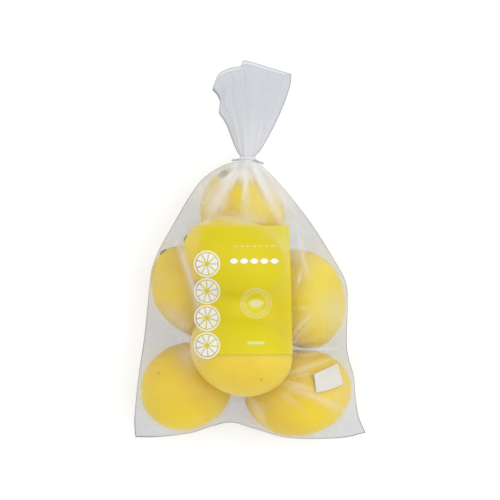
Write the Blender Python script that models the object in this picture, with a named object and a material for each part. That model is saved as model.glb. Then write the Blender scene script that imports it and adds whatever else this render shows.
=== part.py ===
"""A clear film bag of seven lemons, lying on its back, its neck gathered in a tie and its mouth fanned out.

The bag lies on Z = 0, its mouth towards +Y and its printed front towards +Z. The origin is on that plane,
under the middle of the bag's outline. Lengths are in millimetres here, and MM turns them into metres.
"""

import math

import bmesh
import bpy
import numpy as np
from mathutils import Vector
from mathutils.bvhtree import BVHTree

MM = 0.001

# How finely the bag is faceted: cells across it, and along its body, its neck and its fanned mouth.
ACROSS = 36
BODY_ROWS = 38
NECK_ROWS = 1
FAN_ROWS = 11

# The neck is a round bundle of film, which the tie closes.
NECK_X = -1.7
NECK_Z = 24.0
NECK_RADIUS = 4.8
NECK_START_Y = 60.3
NECK_END_Y = 63.2

# The film drawn into the neck stands in folds, which fade down the shoulders and open again in the fan.
FOLDS = 7
SHOULDER_FOLD = 2.0
SHOULDER_FOLDS_FROM = 0.62  # share of the way from the bottom seam to the neck
SHOULDER_FOLD_CREST = 1.6  # above 1 puts their highest part nearer the neck
NECK_FOLD = 0.35
FAN_FOLD = 1.5
FAN_BELLY = 5.6  # half the fan's thickness at its thickest
FAN_LIP = 2.2  # and close to the mouth

# The underside lies on the floor wherever it would hang less than this far below the fruit.
UNDERSIDE_SLACK = 3.0
FILM_SAG = 0.1  # how sharply the front film curves down between the fruit that holds it up, per millimetre
FILM = 0.3
SETTLE_STEPS = 500
NEAREST = 0.3  # cells narrower than this pull no harder on their neighbours
CURVE_STEPS = 20

# Creases that stand up from the front film: where each starts and ends, its height and its half width.
CREASES = [
    {"start": (-5.5, 52), "end": (-19, 24), "height": 2.2, "width": 3.2},
    {"start": (4, 53), "end": (21, 19), "height": 2.0, "width": 3.2},
    {"start": (-49, 2), "end": (-37, -38), "height": 2.2, "width": 3.5},
    {"start": (31, -12), "end": (37, -36), "height": 2.0, "width": 3.5},
    {"start": (26, -64), "end": (62, -72), "height": 2.2, "width": 3.5},
    {"start": (25, -70), "end": (66, -95), "height": 2.2, "width": 3.5},
    {"start": (24, -75), "end": (52, -112), "height": 1.8, "width": 3.5},
]

# Each lemon: where its middle is, which way its stem end points (turned from +X, then raised), and its size.
# One with no height lies on the floor. The other two lie on those below them.
LEMONS = {
    "low_left": {"x": -43.6, "y": -92.2, "turn": 212, "rise": 24, "wide": 59, "long": 68},
    "low_right": {"x": 33.3, "y": -96.7, "turn": 8, "rise": 5, "wide": 59.5, "long": 73},
    "side_left": {"x": -36.4, "y": -28.5, "turn": 125, "rise": 15, "wide": 55, "long": 71},
    "side_right": {"x": 35.6, "y": -32.6, "turn": -62, "rise": 10, "wide": 56, "long": 68},
    "under_neck": {"x": -5.0, "y": 24.5, "turn": 125, "rise": 20, "wide": 57, "long": 69},
    "top_low": {"x": -5.9, "y": -68.3, "z": 73.9, "turn": -20, "rise": 14, "wide": 60, "long": 73},
    "top_high": {"x": -9.5, "y": -6.5, "z": 79.0, "turn": 157, "rise": 4, "wide": 57, "long": 74},
}

# The bag's outline as (x, y, z). The front and the back of the film meet along it.
CORNER_LEFT = (-78.0, -127.5, 5)
CORNER_RIGHT = (78.7, -124.4, 5)
BOTTOM_SEAM = [
    CORNER_LEFT, (-65, -127.4, 10), (-52, -126.0, 20), (-38, -123.8, 23), (-26, -119.8, 20),
    (-12, -117.3, 15), (2, -121.2, 17), (22, -126.9, 23), (40, -128.2, 23), (64, -127.6, 12), CORNER_RIGHT,
]
LEFT_SIDE = [
    CORNER_LEFT, (-78.7, -115, 11), (-76, -88, 25), (-71.8, -60, 27), (-69.5, -38, 28), (-67, -14, 28),
    (-61, 1.5, 28), (-50.4, 20.5, 28), (-39, 39.5, 27), (-29.6, 50.4, 26), (-17, 58, 25),
    (NECK_X - NECK_RADIUS, NECK_START_Y, NECK_Z),
]
RIGHT_SIDE = [
    CORNER_RIGHT, (74, -113.5, 14), (71.6, -99, 25), (70.5, -86, 27), (66.5, -71.5, 27), (65.5, -60, 27),
    (66.3, -35, 28), (64.7, -21, 28), (55.8, -4.5, 28), (41.2, 18.4, 28), (22.5, 42.3, 27), (10.5, 54.8, 25),
    (NECK_X + NECK_RADIUS, NECK_START_Y, NECK_Z),
]
MOUTH_LEFT = (-25.6, 108.8, 14)
MOUTH_RIGHT = (28.2, 119.9, 7)
FAN_LEFT_EDGE = [
    (NECK_X - NECK_RADIUS, NECK_END_Y, NECK_Z), (-9.6, 68.4, 23.5), (-12.6, 76, 22), (-16.5, 86, 20),
    (-21.8, 94.4, 18), (-20.0, 98.5, 17), (-22.0, 104.5, 15), MOUTH_LEFT,
]
FAN_RIGHT_EDGE = [
    (NECK_X + NECK_RADIUS, NECK_END_Y, NECK_Z), (8.0, 68.9, 23.5), (16.3, 84, 21), (22.6, 97.8, 16),
    (27.4, 112, 10), MOUTH_RIGHT,
]
MOUTH = [
    MOUTH_LEFT, (-24.4, 113, 11), (-21, 120, 11), (-14, 123.6, 11), (-6.6, 125.2, 11), (-3.5, 128.9, 11),
    (12, 124.6, 9), MOUTH_RIGHT,
]

# The tie is a flat band round the neck, twisted shut behind it, with its two ends sticking out.
TIE_GAP = 0.3
TIE_THICK = 0.6
TIE_WIDE = 1.9
TIE_SIDES = 32
TIE_TIPS = {"left": (-12.6, 61.4, 20.5), "right": (10.2, 60.4, 21.5)}
TIE_TIP_FLATNESS = 0.62
TWIST_RADIUS = 1.0
TWIST_LONG = 3.2
BAR_SIDES = 10
BAR_TAPER = 0.85

# The blank label is stuck to the film over the lemon at the lower right.
LABEL_AT = (52.4, -86.7)
LABEL_WIDE = 18.0
LABEL_HIGH = 13.2
LABEL_TURN = 18  # degrees
LABEL_THICK = 0.5
LABEL_GAP = 0.35
LABEL_COLUMNS = 12
LABEL_ROWS = 9
ABOVE_BAG = 200


# The film's shape

def smooth_through(points, cells):
    """Points spaced evenly along a smooth curve through the given ones, ends included."""
    given = np.array(points, float)
    run = np.vstack([2 * given[0] - given[1], given, 2 * given[-1] - given[-2]])
    t = np.linspace(0, 1, CURVE_STEPS, endpoint=False)[:, None]
    spans = []
    for a, b, c, d in zip(run, run[1:], run[2:], run[3:]):
        bend, twist = 2 * a - 5 * b + 4 * c - d, 3 * b - a - 3 * c + d
        spans.append(b + 0.5 * ((c - a) * t + bend * t**2 + twist * t**3))
    curve = np.vstack([*spans, given[-1:]])
    reach = np.concatenate([[0], np.cumsum(np.linalg.norm(np.diff(curve, axis=0), axis=1))])
    even = np.linspace(0, reach[-1], cells + 1)
    return np.stack([np.interp(even, reach, curve[:, k]) for k in range(3)], axis=1)


def patch_between(start, end, left, right):
    """A grid of points, rows by columns, filling the space between four curves that meet at their ends."""
    v = np.linspace(0, 1, len(left))[:, None, None]
    u = np.linspace(0, 1, len(start))[None, :, None]
    across = (1 - u) * left[:, None] + u * right[:, None]
    along = (1 - v) * start[None] + v * end[None]
    first_row = (1 - u) * start[0] + u * start[-1]
    last_row = (1 - u) * end[0] + u * end[-1]
    return across + along - (1 - v) * first_row - v * last_row


def neck_line(y):
    """The neck's width at y, divided as a half circle is when seen from above."""
    angle = np.linspace(0, math.pi, ACROSS + 1)
    x = NECK_X - NECK_RADIUS * np.cos(angle)
    return np.stack([x, np.full_like(x, y), np.full_like(x, NECK_Z)], axis=1)


def lemon_shape(lemon):
    """A lemon's middle, and the matrix that measures its egg shape in any direction."""
    turn, rise = math.radians(lemon["turn"]), math.radians(lemon["rise"])
    axis = np.array([math.cos(turn) * math.cos(rise), math.sin(turn) * math.cos(rise), math.sin(rise)])
    girth, reach = (lemon["wide"] / 2) ** 2, (lemon["long"] / 2) ** 2
    spread = np.eye(3) * girth + np.outer(axis, axis) * (reach - girth)
    height = lemon.get("z", math.sqrt(spread[2, 2]) + FILM)
    return np.array([lemon["x"], lemon["y"], height]), np.linalg.inv(spread)


def fruit_limit(x, y, side):
    """How far any lemon reaches up (side 1) or down (side -1) over each point, with no limit beyond them."""
    limit = np.full_like(x, -np.inf)
    for lemon in LEMONS.values():
        middle, form = lemon_shape(lemon)
        dx, dy = x - middle[0], y - middle[1]
        cross = form[0, 2] * dx + form[1, 2] * dy
        flat = form[0, 0] * dx**2 + 2 * form[0, 1] * dx * dy + form[1, 1] * dy**2
        inside = cross**2 - form[2, 2] * (flat - 1)
        reach = (np.sqrt(np.maximum(inside, 0)) - side * cross) / form[2, 2]
        limit = np.where(inside > 0, np.maximum(limit, side * middle[2] + reach + FILM), limit)
    return limit


def stretched(net, start, limit, ceiling=np.inf, sag=0.0):
    """Heights of a film held at the net's rim, where each point settles between its neighbours or below them."""
    height = start.copy()
    height[1:-1, 1:-1] = np.maximum(start, limit)[1:-1, 1:-1]
    middle = net[1:-1, 1:-1, :2]
    beside = (net[:-2, 1:-1, :2], net[2:, 1:-1, :2], net[1:-1, :-2, :2], net[1:-1, 2:, :2])
    gaps = np.stack([np.linalg.norm(middle - other, axis=-1) for other in beside])
    pull = 1 / np.maximum(gaps, NEAREST) ** 2
    drop = sag / pull.sum(axis=0)
    pull /= pull.sum(axis=0)
    for _ in range(SETTLE_STEPS):
        around = np.stack([height[:-2, 1:-1], height[2:, 1:-1], height[1:-1, :-2], height[1:-1, 2:]])
        settled = np.maximum((pull * around).sum(axis=0) - drop, limit[1:-1, 1:-1])
        height[1:-1, 1:-1] = np.minimum(settled, ceiling)
    return height


def creased(x, y):
    """How far the creases lift the film at each point. Each fades out towards its two ends."""
    lift = np.zeros_like(x)
    for crease in CREASES:
        start = np.array(crease["start"], float)
        run = np.array(crease["end"], float) - start
        along = np.clip(((x - start[0]) * run[0] + (y - start[1]) * run[1]) / run.dot(run), 0, 1)
        aside = np.hypot(x - start[0] - along * run[0], y - start[1] - along * run[1])
        lift += crease["height"] * np.exp(-(aside / crease["width"]) ** 2) * (1 - (2 * along - 1) ** 4)
    return lift


def body_sheets():
    """The net of the bag's body, and the heights of its front and its back film."""
    net = patch_between(
        smooth_through(BOTTOM_SEAM, ACROSS), neck_line(NECK_START_Y),
        smooth_through(LEFT_SIDE, BODY_ROWS), smooth_through(RIGHT_SIDE, BODY_ROWS),
    )
    x, y, rim = net[..., 0], net[..., 1], net[..., 2]
    arch = np.sin(np.linspace(0, math.pi, ACROSS + 1))
    front_start, back_start = rim.copy(), rim.copy()
    front_start[-1] += NECK_RADIUS * arch
    back_start[-1] -= NECK_RADIUS * arch
    # The back hangs below the fruit and stops at the floor. The front lies on the fruit and on the back.
    back = -stretched(net, -back_start, fruit_limit(x, y, -1) + UNDERSIDE_SLACK, ceiling=0)
    front = stretched(net, front_start, np.maximum(fruit_limit(x, y, 1), back + FILM), sag=FILM_SAG)
    along = np.linspace(0, 1, BODY_ROWS + 1)[:, None]
    rise = np.clip((along - SHOULDER_FOLDS_FROM) / (1 - SHOULDER_FOLDS_FROM), 0, 1)
    wave = 0.5 + 0.5 * np.cos(2 * math.pi * FOLDS * np.linspace(0, 1, ACROSS + 1))
    folds = SHOULDER_FOLD * np.sin(math.pi * rise**SHOULDER_FOLD_CREST) * arch * wave
    return net, front + folds + creased(x, y), back


def fan_sheets():
    """The same for the neck and the fanned mouth above it."""
    neck = patch_between(
        neck_line(NECK_START_Y), neck_line(NECK_END_Y),
        np.linspace(LEFT_SIDE[-1], FAN_LEFT_EDGE[0], NECK_ROWS + 1),
        np.linspace(RIGHT_SIDE[-1], FAN_RIGHT_EDGE[0], NECK_ROWS + 1),
    )
    fan = patch_between(
        neck_line(NECK_END_Y), smooth_through(MOUTH, ACROSS),
        smooth_through(FAN_LEFT_EDGE, FAN_ROWS), smooth_through(FAN_RIGHT_EDGE, FAN_ROWS),
    )
    net = np.vstack([neck, fan[1:]])
    opened = np.concatenate([np.zeros(NECK_ROWS), np.linspace(0, 1, FAN_ROWS + 1)])[:, None]
    across = np.linspace(0, 1, ACROSS + 1)
    arch = np.sin(math.pi * across)
    swell = (FAN_BELLY - NECK_RADIUS) * np.sin(math.pi * opened)
    half = (NECK_RADIUS + swell - (NECK_RADIUS - FAN_LIP) * opened) * np.abs(arch) ** (1 - 0.5 * opened)
    fold = (NECK_FOLD + (FAN_FOLD - NECK_FOLD) * opened) * arch
    wave = 0.5 + 0.5 * np.cos(2 * math.pi * FOLDS * across)
    front = net[..., 2] + half - fold * (1 - wave)
    back = net[..., 2] - half + fold * wave
    front[-1] = back[-1] = net[-1, :, 2]
    return net, front, back


# Making objects

def new_object(name, bm, material):
    """The mesh as an object of that name, in metres, with its faces pointing out."""
    bmesh.ops.recalc_face_normals(bm, faces=bm.faces)
    bmesh.ops.scale(bm, vec=(MM, MM, MM), verts=bm.verts)
    mesh = bpy.data.meshes.new(name)
    bm.to_mesh(mesh)
    bm.free()
    mesh.materials.append(material)
    made = bpy.data.objects.new(name, mesh)
    bpy.context.scene.collection.objects.link(made)
    return made


def plain_material(name, colour, roughness, alpha=1.0):
    material = bpy.data.materials.new(name)
    material.use_nodes = True
    shader = material.node_tree.nodes["Principled BSDF"]
    shader.inputs["Base Color"].default_value = (*colour, 1)
    shader.inputs["Roughness"].default_value = roughness
    shader.inputs["Alpha"].default_value = alpha
    return material


def closed_pillow(net, front, back):
    """One closed mesh of a front and a back sheet, which share the points along the net's rim."""
    bm = bmesh.new()
    rows, columns = front.shape
    top, low = {}, {}
    for i in range(rows):
        for j in range(columns):
            x, y = net[i, j, :2]
            on_rim = i in (0, rows - 1) or j in (0, columns - 1)
            top[i, j] = bm.verts.new((x, y, front[i, j]))
            low[i, j] = top[i, j] if on_rim else bm.verts.new((x, y, back[i, j]))
    for i in range(rows - 1):
        for j in range(columns - 1):
            add_two_sided_cell(bm, top, low, i, j)
    return bm


def add_two_sided_cell(bm, top, low, i, j):
    around = ((i, j), (i, j + 1), (i + 1, j + 1), (i + 1, j))
    bm.faces.new([top[at] for at in around])
    bm.faces.new([low[at] for at in reversed(around)])


def make_bag(material):
    """The filled bag in one piece: body, neck and fanned mouth."""
    net, front, back = (
        np.vstack([below, above[1:]]) for below, above in zip(body_sheets(), fan_sheets())
    )
    bag = new_object("bag", closed_pillow(net, front, back), material)
    bag.data.shade_smooth()
    return bag


def make_tie(material):
    """The band round the neck, its twist behind the neck and its two ends, joined into one piece."""
    inner = NECK_RADIUS + TIE_GAP
    outer = inner + TIE_THICK
    middle_y = (NECK_START_Y + NECK_END_Y) / 2
    low_y, high_y = middle_y - TIE_WIDE / 2, middle_y + TIE_WIDE / 2
    bm = bmesh.new()
    rings = []
    for k in range(TIE_SIDES):
        angle = 2 * math.pi * k / TIE_SIDES
        rings.append([
            bm.verts.new((NECK_X + radius * math.cos(angle), y, NECK_Z + radius * math.sin(angle)))
            for radius, y in ((inner, low_y), (outer, low_y), (outer, high_y), (inner, high_y))
        ])
    for ring, after in zip(rings, rings[1:] + rings[:1]):
        for k in range(4):
            bm.faces.new((ring[k], ring[k - 1], after[k - 1], after[k]))
    tie = new_object("neck_tie", bm, material)
    twist_at = Vector((NECK_X, middle_y, NECK_Z - inner - TWIST_RADIUS))
    half_twist = Vector((TWIST_LONG / 2, 0, 0))
    join(tie, tapered_bar("tie_twist", twist_at - half_twist, twist_at + half_twist, 1, material))
    for name, tip in TIE_TIPS.items():
        join(tie, tapered_bar(f"tie_{name}", twist_at, Vector(tip), TIE_TIP_FLATNESS, material))
    return tie


def tapered_bar(name, start, end, flatness, material):
    """A bar between two points, which only shapes the tie. Its height is flatness times its width."""
    bm = bmesh.new()
    long = (end - start).length
    bmesh.ops.create_cone(
        bm, cap_ends=True, segments=BAR_SIDES, depth=long,
        radius1=TWIST_RADIUS, radius2=TWIST_RADIUS * BAR_TAPER,
    )
    bmesh.ops.translate(bm, vec=(0, 0, long / 2), verts=bm.verts)
    bmesh.ops.scale(bm, vec=(flatness, 1, 1), verts=bm.verts)
    turned = (end - start).to_track_quat("Z", "X").to_matrix().to_4x4()
    bmesh.ops.transform(bm, matrix=turned, verts=bm.verts)
    bmesh.ops.translate(bm, vec=start, verts=bm.verts)
    bar = new_object(name, bm, material)
    bar.hide_render = True
    bar.display_type = "WIRE"
    return bar


def join(target, other):
    union = target.modifiers.new(other.name, "BOOLEAN")
    union.operation = "UNION"
    union.object = other


def make_label(bag, material):
    """A thin plate that follows the bag's surface under it."""
    surface = BVHTree.FromObject(bag, bpy.context.evaluated_depsgraph_get())
    turn = math.radians(LABEL_TURN)
    bm = bmesh.new()
    low, top = {}, {}
    for i in range(LABEL_ROWS + 1):
        for j in range(LABEL_COLUMNS + 1):
            a, b = (j / LABEL_COLUMNS - 0.5) * LABEL_WIDE, (i / LABEL_ROWS - 0.5) * LABEL_HIGH
            x = LABEL_AT[0] + a * math.cos(turn) - b * math.sin(turn)
            y = LABEL_AT[1] + a * math.sin(turn) + b * math.cos(turn)
            hit, normal, _, _ = surface.ray_cast(Vector((x, y, ABOVE_BAG)) * MM, Vector((0, 0, -1)))
            low[i, j] = bm.verts.new(hit / MM + normal * LABEL_GAP)
            top[i, j] = bm.verts.new(hit / MM + normal * (LABEL_GAP + LABEL_THICK))
    rows, columns = range(LABEL_ROWS), range(LABEL_COLUMNS)
    for i in rows:
        for j in columns:
            add_two_sided_cell(bm, top, low, i, j)
    rim = [(0, j) for j in columns] + [(i, LABEL_COLUMNS) for i in rows]
    rim += [(LABEL_ROWS, j + 1) for j in reversed(columns)] + [(i + 1, 0) for i in reversed(rows)]
    for here, after in zip(rim, rim[1:] + rim[:1]):
        bm.faces.new((low[here], low[after], top[after], top[here]))
    return new_object("blank_label", bm, material)


def main():
    for thing in list(bpy.data.objects):
        bpy.data.objects.remove(thing)
    bag = make_bag(plain_material("film_over_lemons", (0.86, 0.72, 0.22), 0.3, 0.85))
    bpy.context.view_layer.update()
    make_tie(plain_material("tie_plastic", (0.8, 0.81, 0.8), 0.4))
    make_label(bag, plain_material("label_paper", (0.84, 0.82, 0.78), 0.7))


main()
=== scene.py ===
# A clear film bag of lemons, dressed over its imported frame.
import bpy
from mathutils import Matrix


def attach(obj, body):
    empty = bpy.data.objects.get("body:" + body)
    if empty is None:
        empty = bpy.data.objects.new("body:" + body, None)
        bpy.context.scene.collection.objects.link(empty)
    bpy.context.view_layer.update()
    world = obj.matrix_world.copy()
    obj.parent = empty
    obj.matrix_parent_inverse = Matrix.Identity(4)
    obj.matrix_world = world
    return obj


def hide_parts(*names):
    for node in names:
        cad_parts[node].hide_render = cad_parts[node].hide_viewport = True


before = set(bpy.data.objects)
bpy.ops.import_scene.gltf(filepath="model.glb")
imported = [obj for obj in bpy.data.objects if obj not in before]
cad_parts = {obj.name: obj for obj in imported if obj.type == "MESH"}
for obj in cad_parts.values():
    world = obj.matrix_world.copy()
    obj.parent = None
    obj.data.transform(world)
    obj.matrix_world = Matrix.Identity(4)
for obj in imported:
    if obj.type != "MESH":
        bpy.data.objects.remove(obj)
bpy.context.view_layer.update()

import math

import bmesh
import bpy
import numpy as np
from mathutils import Matrix, Vector, noise
from mathutils.bvhtree import BVHTree

# work lengths are millimetres, and this makes them metres
mm = 0.001

# helpers for making a piece


def linkNew(name, data):
    thing = bpy.data.objects.new(name, data)
    bpy.context.scene.collection.objects.link(thing)
    return thing


def newPiece(name, points, faces, material, smooth=True):
    # points in millimetres, in the frame's own axes, so the object stays at the origin
    mesh = bpy.data.meshes.new(name)
    mesh.from_pydata((np.asarray(points, float) * mm).tolist(), [], faces)
    mesh.materials.append(material)
    if smooth:
        mesh.shade_smooth()
    return linkNew(name, mesh)


def quadsOf(index):
    # quads of a grid of point numbers, facing +Z where x grows along a row and y grows with the rows
    a, b, c, d = index[:-1, :-1], index[:-1, 1:], index[1:, 1:], index[1:, :-1]
    return np.stack([a, b, c, d], axis=-1).reshape(-1, 4)


def gridFaces(rows, columns, first=0):
    return quadsOf(first + np.arange(rows * columns).reshape(rows, columns)).tolist()


def addAttribute(piece, name, values):
    layer = piece.data.attributes.new(name, "FLOAT", "POINT")
    layer.data.foreach_set("value", np.asarray(values, np.float32).ravel())


def twoSheets(name, front, back, inside, material):
    # a front and a back sheet, which share their rim: what the inside mask leaves out
    index = np.arange(inside.size).reshape(inside.shape)
    under = index.copy()
    under[inside] = index.size + np.arange(inside.sum())
    faces = np.vstack([quadsOf(index), quadsOf(under)[:, ::-1]]).tolist()
    return newPiece(name, np.vstack([front.reshape(-1, 3), back[inside]]), faces, material)


def markSheets(piece, inside, **marks):
    # each mark gives its values on the front sheet and on the back one
    for name, (front, back) in marks.items():
        addAttribute(piece, name, np.concatenate([front.ravel(), back[inside]]))


def smoothStep(low, high, value):
    t = np.clip((value - low) / (high - low), 0, 1)
    return t * t * (3 - 2 * t)


def between(low, high, share):
    return low + (high - low) * share


def patchField(x, y, patches):
    # the sum of soft patches, each given as x, y, half width, half height and strength
    total = np.zeros_like(x)
    for middleX, middleY, wide, tall, strength in patches:
        total += strength * np.exp(-((x - middleX) / wide) ** 2 - ((y - middleY) / tall) ** 2)
    return total


def standFor(piece, slot, *nodes):
    # every piece of the bag rides on the one body
    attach(piece, "root")
    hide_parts(*nodes)


# helpers for node trees


def newGroup(name, inputs, outputs):
    group = bpy.data.node_groups.new(name, "ShaderNodeTree")
    for side, sockets in (("INPUT", inputs), ("OUTPUT", outputs)):
        for label, kind in sockets.items():
            group.interface.new_socket(label, in_out=side, socket_type="NodeSocket" + kind)
    return group, group.nodes.new("NodeGroupInput").outputs, group.nodes.new("NodeGroupOutput").inputs


def setInputs(tree, node, values):
    # each input takes a plain value or another node's output
    for key, value in values.items():
        if isinstance(value, bpy.types.NodeSocket):
            tree.links.new(value, node.inputs[key])
        else:
            node.inputs[key].default_value = value


def addNode(tree, kind, values=None, **settings):
    # settings are the node's own, and values go to its inputs
    node = tree.nodes.new(kind)
    for key, value in settings.items():
        setattr(node, key, value)
    setInputs(tree, node, values or {})
    return node


mathSigns = {"+": "ADD", "-": "SUBTRACT", "*": "MULTIPLY", "/": "DIVIDE", "*+": "MULTIPLY_ADD"}


def calculator(tree):
    # makes Math nodes in one tree, named by their sign or by Blender's own word
    def calc(sign, *values, clamp=False):
        links, word = dict(enumerate(values)), mathSigns.get(sign, sign)
        return addNode(tree, "ShaderNodeMath", links, operation=word, use_clamp=clamp).outputs[0]

    return calc


def mixColour(tree, share, first, second):
    return addNode(tree, "ShaderNodeMix", {0: share, 6: first, 7: second}, data_type="RGBA").outputs[2]


def readMark(tree, name):
    return addNode(tree, "ShaderNodeAttribute", attribute_name=name).outputs["Fac"]


def noiseNode(tree, vector, scale, detail):
    links = {"Vector": vector, "Scale": scale, "Detail": detail}
    return addNode(tree, "ShaderNodeTexNoise", links).outputs[0]


def rangeNode(tree, value, low, high):
    links = {"Value": value, "From Min": low, "From Max": high}
    return addNode(tree, "ShaderNodeMapRange", links).outputs[0]


mottleForm = {"detail": 3.0, "low": 0.3, "high": 0.7}
reliefForm = {"coarseDetail": 2.0, "fineDetail": 1.0}
reliefSizes = ("Coarse Scale", "Fine Scale", "Fine Share", "Height")


def makeMottle(form):
    # a colour that drifts between two, in soft patches
    group, given, out = newGroup(
        "softMottle", {"Vector": "Vector", "Scale": "Float", "First": "Color", "Second": "Color"},
        {"Color": "Color", "Mask": "Float"},
    )
    patches = noiseNode(group, given["Vector"], given["Scale"], form["detail"])
    mask = rangeNode(group, patches, form["low"], form["high"])
    group.links.new(mixColour(group, mask, given["First"], given["Second"]), out["Color"])
    group.links.new(mask, out["Mask"])
    return group


def makeRelief(form):
    # fine unevenness as a normal, from two sizes of noise
    inputs = {"Vector": "Vector", **dict.fromkeys(reliefSizes, "Float")}
    group, given, out = newGroup("fineRelief", inputs, {"Normal": "Vector"})
    coarse = noiseNode(group, given["Vector"], given["Coarse Scale"], form["coarseDetail"])
    fine = noiseNode(group, given["Vector"], given["Fine Scale"], form["fineDetail"])
    both = calculator(group)("*+", fine, given["Fine Share"], coarse)
    bump = addNode(group, "ShaderNodeBump", {"Height": both, "Distance": given["Height"], "Strength": 1.0})
    group.links.new(bump.outputs[0], out["Normal"])
    return group


mottle, relief = makeMottle(mottleForm), makeRelief(reliefForm)


def newMaterial(name):
    material = bpy.data.materials.new(name)
    material.use_nodes = True
    tree = material.node_tree
    place = addNode(tree, "ShaderNodeTexCoord").outputs["Object"]
    return material, tree, tree.nodes["Principled BSDF"], place


def useGroup(tree, group, links):
    return addNode(tree, "ShaderNodeGroup", links, node_tree=group).outputs


def drift(tree, place, look):
    # the soft patches of a look's two colours
    links = {"Vector": place, "Scale": look["patches"], "First": look["first"], "Second": look["second"]}
    return useGroup(tree, mottle, links)["Color"]


def unevenness(tree, place, look):
    # a look's relief is given in the order of reliefSizes
    sizes = dict(zip(reliefSizes, look["relief"]))
    return useGroup(tree, relief, {"Vector": place, **sizes})["Normal"]


# the film's colours, and how opaque it is where it lies on fruit (thin), hangs free (apart), is gathered,
# folded or clouded (patch), and at its edges; shadow is the share of that which its own shadow keeps;
# the edge colour is painted shade, a dark line at the rim and along the creases
filmLook = {
    "clear": (0.43, 0.455, 0.49, 1), "haze": (0.50, 0.52, 0.57, 1), "milkAndPaintedLight": (0.84, 0.82, 0.78, 1),
    "edge": (0.22, 0.225, 0.235, 1), "thin": 0.08, "apart": 0.3, "gathered": 0.52, "fold": 0.31, "patch": 0.3,
    "edgeAlpha": 0.6, "most": 0.93, "shadow": 0.4,
    "patches": 30.0, "patchLeast": 0.4, "patchDrift": 0.8, "shader": {"Roughness": 0.28, "IOR": 1.6},
    "relief": (90.0, 420.0, 0.35, 0.00012),
}


def makeFilm(name, look):
    # the film is hazy where it hangs free, and milky where it is gathered, folded or clouded; the milk of the
    # folds is partly painted highlight and that of the clouds partly painted light, and the rim mark paints
    # a dark line of shade
    material, tree, shader, place = newMaterial(name)
    calc = calculator(tree)
    rim = readMark(tree, "rim")
    uneven = useGroup(tree, mottle, {"Vector": place, "Scale": look["patches"]})["Mask"]
    uneven = calc("*+", uneven, look["patchDrift"], look["patchLeast"])
    milkAndPaintedLight = calc("*", readMark(tree, "gather"), look["gathered"])
    milkAndPaintedLight = calc("*+", readMark(tree, "fold"), look["fold"], milkAndPaintedLight)
    # clouds: milky patches of film, partly painted light over shaded spots
    milkAndPaintedLight = calc("*+", calc("*", readMark(tree, "cloud"), uneven), look["patch"], milkAndPaintedLight)
    haze = calc("*", readMark(tree, "apart"), look["apart"])
    bare = calc("+", haze, look["thin"])
    tint = mixColour(tree, calc("/", haze, bare), look["clear"], look["haze"])
    alpha = calc("+", milkAndPaintedLight, bare)
    tint = mixColour(tree, calc("/", milkAndPaintedLight, alpha), tint, look["milkAndPaintedLight"])
    # painted shade: the rim mark draws the dark edge colour along the bag's rim and its creases
    tint = mixColour(tree, rim, tint, look["edge"])
    alpha = calc("*+", rim, look["edgeAlpha"], alpha)
    alpha = calc("MINIMUM", alpha, look["most"], clamp=True)
    # thin film lets most of the light through to what it wraps
    inShadow = addNode(tree, "ShaderNodeLightPath").outputs["Is Shadow Ray"]
    alpha = calc("*", alpha, calc("*+", inShadow, look["shadow"] - 1.0, 1.0))
    setInputs(tree, shader, {
        **look["shader"], "Base Color": tint, "Alpha": alpha, "Normal": unevenness(tree, place, look),
    })
    return material


peelLook = {
    "first": (0.86, 0.67, 0.014, 1), "second": (0.76, 0.51, 0.006, 1), "patches": 28.0,
    "greenish": (0.68, 0.61, 0.03, 1), "tipShare": 0.5, "deepShare": 0.5, "freshShare": 0.7,
    "pore": 0.0016, "poreShare": 0.22, "dent": (0.05, 0.5),
    "lumpScale": 160.0, "lumpDetail": 2.0, "lumpShare": 1.4, "height": 0.00022, "strength": 0.9,
    "scar": (0.22, 0.12, 0.03, 1), "scarScale": 46.0, "scarWide": 0.035, "scarShare": 0.75,
    "shader": {"Roughness": 0.42, "IOR": 1.45, "Specular IOR Level": 0.36,
               "Subsurface Weight": 0.12, "Subsurface Scale": 0.004},
}


def makePeel(look):
    material, tree, shader, place = newMaterial("lemonPeel")
    calc = calculator(tree)
    tint = drift(tree, place, look)
    for mark, tone in (("tip", "greenish"), ("deep", "second"), ("fresh", "greenish")):
        tint = mixColour(tree, calc("*", readMark(tree, mark), look[mark + "Share"]), tint, look[tone])
    pores = addNode(tree, "ShaderNodeTexVoronoi", {"Vector": place, "Scale": 1 / look["pore"]})
    dent = rangeNode(tree, pores.outputs["Distance"], *look["dent"])
    shade = calc("-", look["poreShare"], calc("*", dent, look["poreShare"]))
    tint = mixColour(tree, shade, tint, look["second"])
    spots = addNode(tree, "ShaderNodeTexVoronoi", {"Vector": place, "Scale": look["scarScale"]})
    scar = calc("LESS_THAN", spots.outputs["Distance"], look["scarWide"])
    tint = mixColour(tree, calc("*", scar, look["scarShare"]), tint, look["scar"])
    lumps = noiseNode(tree, place, look["lumpScale"], look["lumpDetail"])
    height = calc("*+", lumps, look["lumpShare"], dent)
    bumpLinks = {"Height": height, "Distance": look["height"], "Strength": look["strength"]}
    bump = addNode(tree, "ShaderNodeBump", bumpLinks).outputs[0]
    setInputs(tree, shader, {**look["shader"], "Base Color": tint, "Normal": bump})
    return material


# inks are nearly as smooth as the film, and turn a darker gold where the mark says so: painted shade
inkLook = {
    "patches": 60.0, "goldShade": (0.66, 0.51, 0.012, 1), "relief": (90.0, 420.0, 0.35, 0.0001),
    "shader": {"Roughness": 0.4, "IOR": 1.5, "Specular IOR Level": 0.22},
}
inks = {
    "limeInk": {"first": (0.715, 0.60, 0.009, 1), "second": (0.70, 0.592, 0.012, 1), "alpha": 0.87},
    "whiteInk": {"first": (0.86, 0.86, 0.83, 1), "second": (0.82, 0.82, 0.80, 1), "alpha": 0.93},
    "paleInk": {"first": (0.84, 0.80, 0.42, 1), "second": (0.82, 0.78, 0.38, 1), "alpha": 0.7},
}


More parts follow.
